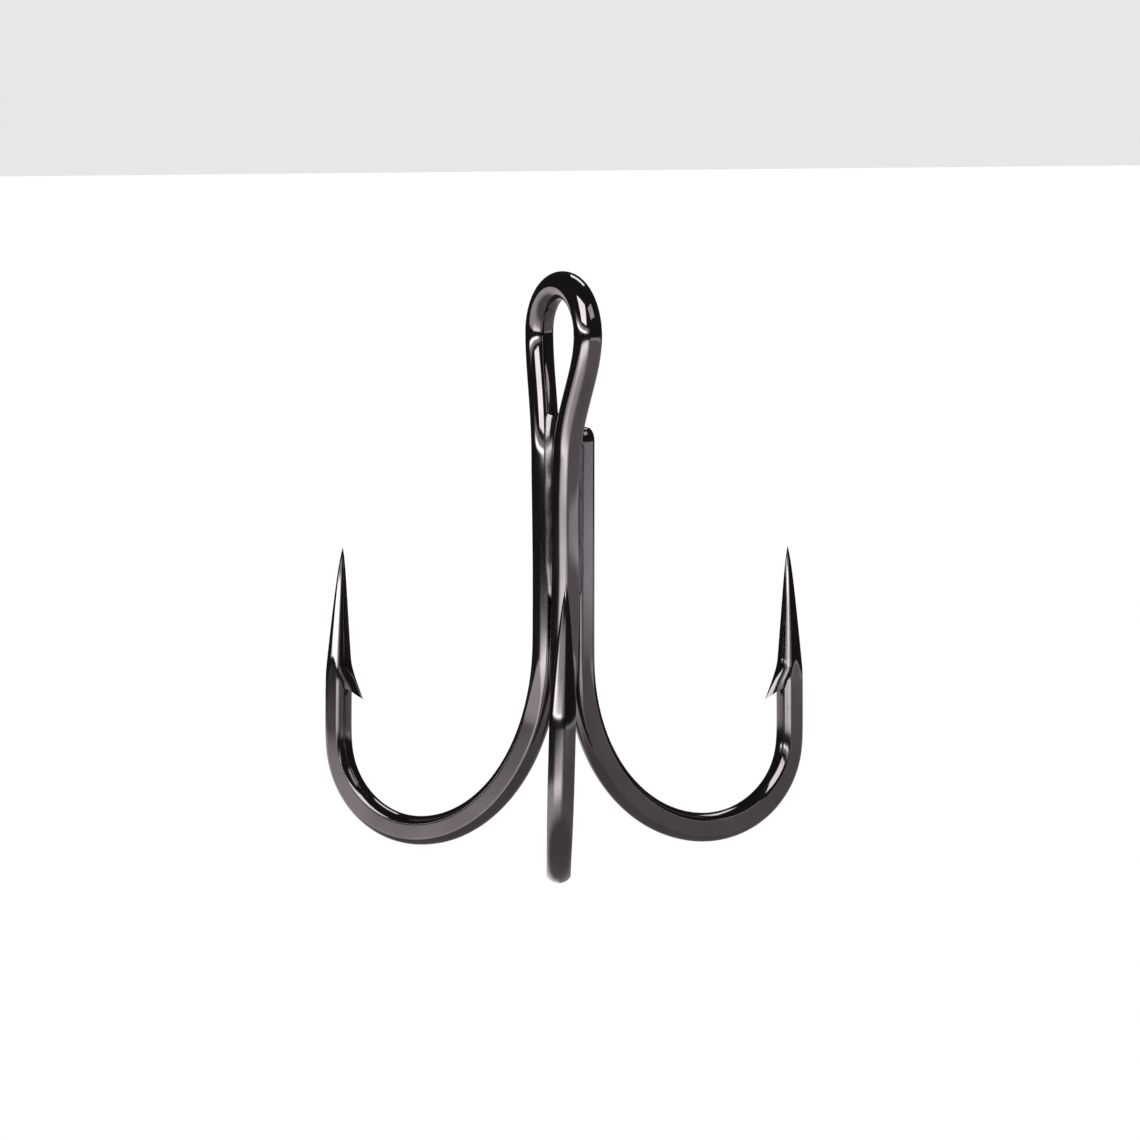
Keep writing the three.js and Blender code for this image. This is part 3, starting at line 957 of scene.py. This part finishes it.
class Sky:
    """Nodes of the world: what a ray sees, worked out from its azimuth and elevation."""

    def __init__(self, tree):
        self.tree = tree
        ray = self.add("ShaderNodeTexCoord").outputs["Generated"]
        right = self.dot(ray, direction(CAMERA_AZIMUTH + 90.0, 0.0))
        towards = self.dot(ray, direction(CAMERA_AZIMUTH, 0.0))
        up = self.dot(ray, (0.0, 0.0, 1.0))
        self.azimuth = self.math("DEGREES", self.math("ARCTAN2", right, towards))
        self.elevation = self.math("DEGREES", self.math("ARCSINE", up))

    def add(self, kind):
        return self.tree.nodes.new(kind)

    def dot(self, vector, other):
        node = self.add("ShaderNodeVectorMath")
        node.operation = "DOT_PRODUCT"
        node.inputs[1].default_value = tuple(other)
        self.tree.links.new(vector, node.inputs[0])
        return node.outputs["Value"]

    def math(self, operation, *values):
        node = self.add("ShaderNodeMath")
        node.operation = operation
        for socket, value in zip(node.inputs, values):
            if isinstance(value, float):
                socket.default_value = value
            else:
                self.tree.links.new(value, socket)
        return node.outputs["Value"]

    def edge(self, value, start, end):
        """0 before start, 1 after end and smooth between them; start may be the greater."""
        node = self.add("ShaderNodeMapRange")
        node.interpolation_type = "SMOOTHSTEP"
        low, high = min(start, end), max(start, end)
        node.inputs["From Min"].default_value = low
        node.inputs["From Max"].default_value = high
        node.inputs["To Min"].default_value = 0.0 if start < end else 1.0
        node.inputs["To Max"].default_value = 1.0 if start < end else 0.0
        self.tree.links.new(value, node.inputs["Value"])
        return node.outputs["Result"]

    def source(self, left, right, side_soft, low, low_soft, high, high_soft, radiance, tint):
        """A soft-edged patch of light as a colour."""
        share = self.edge(self.elevation, low - low_soft, low + low_soft)
        share = self.math("MULTIPLY", share, self.edge(self.elevation, high + high_soft, high - high_soft))
        if left > -180.0:
            share = self.math("MULTIPLY", share, self.edge(self.azimuth, left - side_soft, left + side_soft))
        if right < 180.0:
            side = self.edge(self.azimuth, right + side_soft, right - side_soft)
            share = self.math("MULTIPLY", share, side)
        node = self.add("ShaderNodeVectorMath")
        node.operation = "SCALE"
        node.inputs[0].default_value = tuple(radiance * part for part in tint)
        self.tree.links.new(share, node.inputs["Scale"])
        return node.outputs["Vector"]

    def total(self, sources, base):
        result = None
        for source in sources:
            node = self.add("ShaderNodeVectorMath")
            node.operation = "ADD"
            self.tree.links.new(source, node.inputs[0])
            if result is None:
                node.inputs[1].default_value = base
            else:
                self.tree.links.new(result, node.inputs[1])
            result = node.outputs["Vector"]
        return result


def surroundings():
    """White to the camera and on the floor; to the metal, a dark room with soft lights and a table."""
    world = bpy.data.worlds.new("studio")
    bpy.context.scene.world = world
    world.use_nodes = True
    nodes, links = world.node_tree.nodes, world.node_tree.links
    nodes.clear()
    rays = nodes.new("ShaderNodeLightPath")
    white, room = nodes.new("ShaderNodeBackground"), nodes.new("ShaderNodeBackground")
    white.inputs["Strength"].default_value = 1.0
    sky = Sky(world.node_tree)
    seen = sky.total([sky.source(*settings) for settings in PATCHES.values()], ROOM)
    links.new(seen, room.inputs["Color"])
    mix, out = nodes.new("ShaderNodeMixShader"), nodes.new("ShaderNodeOutputWorld")
    links.new(rays.outputs["Is Glossy Ray"], mix.inputs["Fac"])
    links.new(white.outputs["Background"], mix.inputs[1])
    links.new(room.outputs["Background"], mix.inputs[2])
    links.new(mix.outputs["Shader"], out.inputs["Surface"])


def softbox(name, right, elevation, width, height, radiance, tint):
    away = direction(CAMERA_AZIMUTH + right, elevation)
    data = bpy.data.lights.new(name, "AREA")
    data.shape = "RECTANGLE"
    data.size = 2 * LAMP_DISTANCE * MM * math.tan(radians(width / 2))
    data.size_y = 2 * LAMP_DISTANCE * MM * math.tan(radians(height / 2))
    data.energy = radiance * math.pi * data.size * data.size_y
    data.color = tint
    made = bpy.data.objects.new(name, data)
    bpy.context.scene.collection.objects.link(made)
    made.location = Vector((CAMERA_TARGET + LAMP_DISTANCE * away) * MM)
    made.rotation_euler = Vector(-away).to_track_quat("-Z", "Y").to_euler()
    made.visible_camera = False


def floor(material, height):
    sides = [(-1.0, -1.0), (1.0, -1.0), (1.0, 1.0), (-1.0, 1.0)]
    corners = np.array([(FLOOR_HALF_WIDTH * x, FLOOR_HALF_WIDTH * y, height) for x, y in sides])
    made = mesh_object("floor", corners, [(0, 1, 2, 3)], material)
    made.visible_glossy = False


def build():
    plating, braze = black_nickel(), plated_braze()
    double = eyed_wire(plating)
    raise_barb(double, eyed_half_line(PLUS_X), PLUS_X)
    minus = eyed_half_line(MINUS_X_FLIPPED) * np.array([-1.0, 1.0, 1.0])
    raise_barb(double, minus, MINUS_X)
    single = single_wire(plating)
    raise_barb(single, single_line(), SINGLE)
    for wire in (double, single):
        mend(wire.data)
        only_material(wire, plating)
        smooth_shade(wire, WIRE_SHARP_ANGLE)
    shown = {
        "eyed_double_hook": double,
        "single_hook": single,
    }
    runs = braze_pieces(braze)
    names = ["braze_fillet_double", "braze_fillet_plus_x", "braze_fillet_minus_x", "braze_core"]
    shown.update(zip(names, runs))
    for node, piece in shown.items():
        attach(piece, "root")
        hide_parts(node)


def as_lists(box):
    return [list(corner) for corner in box]


start_box = as_lists(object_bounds())
build()
floor(paper_white(), start_box[0][2] / MM - FLOOR_GAP)
camera()
surroundings()
for light_name, settings in SOFTBOXES.items():
    softbox(light_name, *settings)
bpy.context.scene.view_settings.view_transform = "Standard"
